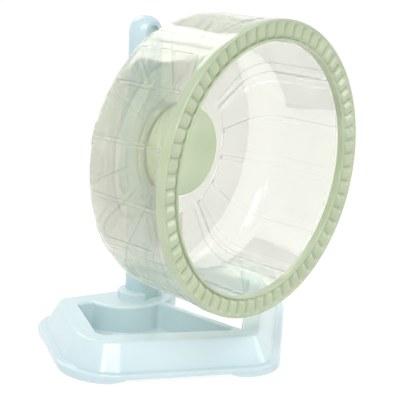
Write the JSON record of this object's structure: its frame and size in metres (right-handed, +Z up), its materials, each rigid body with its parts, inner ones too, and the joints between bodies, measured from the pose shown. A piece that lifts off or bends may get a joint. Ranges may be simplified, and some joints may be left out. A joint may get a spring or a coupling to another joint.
{
  "type": "rodent exercise wheel",
  "caption": "Clear running drum with a toothed green rim, turning on a carrier that slides on a column over a two-part tray base with a food bowl.",
  "frame": {"origin": "on the floor, under the middle of the column, on the underside of the anchor plate", "axes": "+Z up along the column, -Y towards the drum's open side, +X to the right seen from the open side"},
  "size_m": [0.2214, 0.1862, 0.252],
  "materials": {
    "blue_plastic": "glossy moulded plastic, pale blue",
    "blue_plastic_dull": "satin moulded plastic, pale blue",
    "green_plastic": "glossy moulded plastic, sage green",
    "clear_plastic": "polished clear plastic with a cream tint",
    "screw_steel": "zinc-plated steel",
    "axle_steel": "turned steel",
    "bearing_steel": "ground steel",
    "washer_nylon": "natural nylon"
  },
  "bodies": {
    "base": {"base_left": "blue_plastic", "base_right": "blue_plastic", "anchor_plate": "blue_plastic_dull", "front_plate": "blue_plastic_dull", "base_screws": "screw_steel", "post": "blue_plastic", "foot_collar": "blue_plastic"},
    "carriage": {"carrier": "blue_plastic", "axle": "axle_steel", "axle_clip": "axle_steel", "bearing_spacer": "axle_steel", "thrust_washer": "washer_nylon", "bearing_front_inner": "bearing_steel", "bearing_rear_inner": "bearing_steel"},
    "button": {"release_button": "blue_plastic"},
    "wheel": {"ring": "green_plastic", "drum": "clear_plastic", "hub_front": "green_plastic", "hub_rear": "green_plastic", "hub_screws": "screw_steel", "bearing_front_outer": "bearing_steel", "bearing_rear_outer": "bearing_steel"}
  },
  "joints": [
    {"name": "carrier_height", "type": "slide", "parent": "base", "child": "carriage", "axis": [0, 0, 1], "range_m": [-0.012, 0.04]},
    {"name": "button_press", "type": "slide", "parent": "carriage", "child": "button", "axis": [0, -1, 0], "range_m": [0, 0.0025], "stiffness_N_per_m": 400, "springref_m": -0.002},
    {"name": "wheel_spin", "type": "hinge", "parent": "carriage", "child": "wheel", "pos_m": [0, -0.06, 0.147], "axis": [0, 1, 0], "continuous": true}
  ]
}
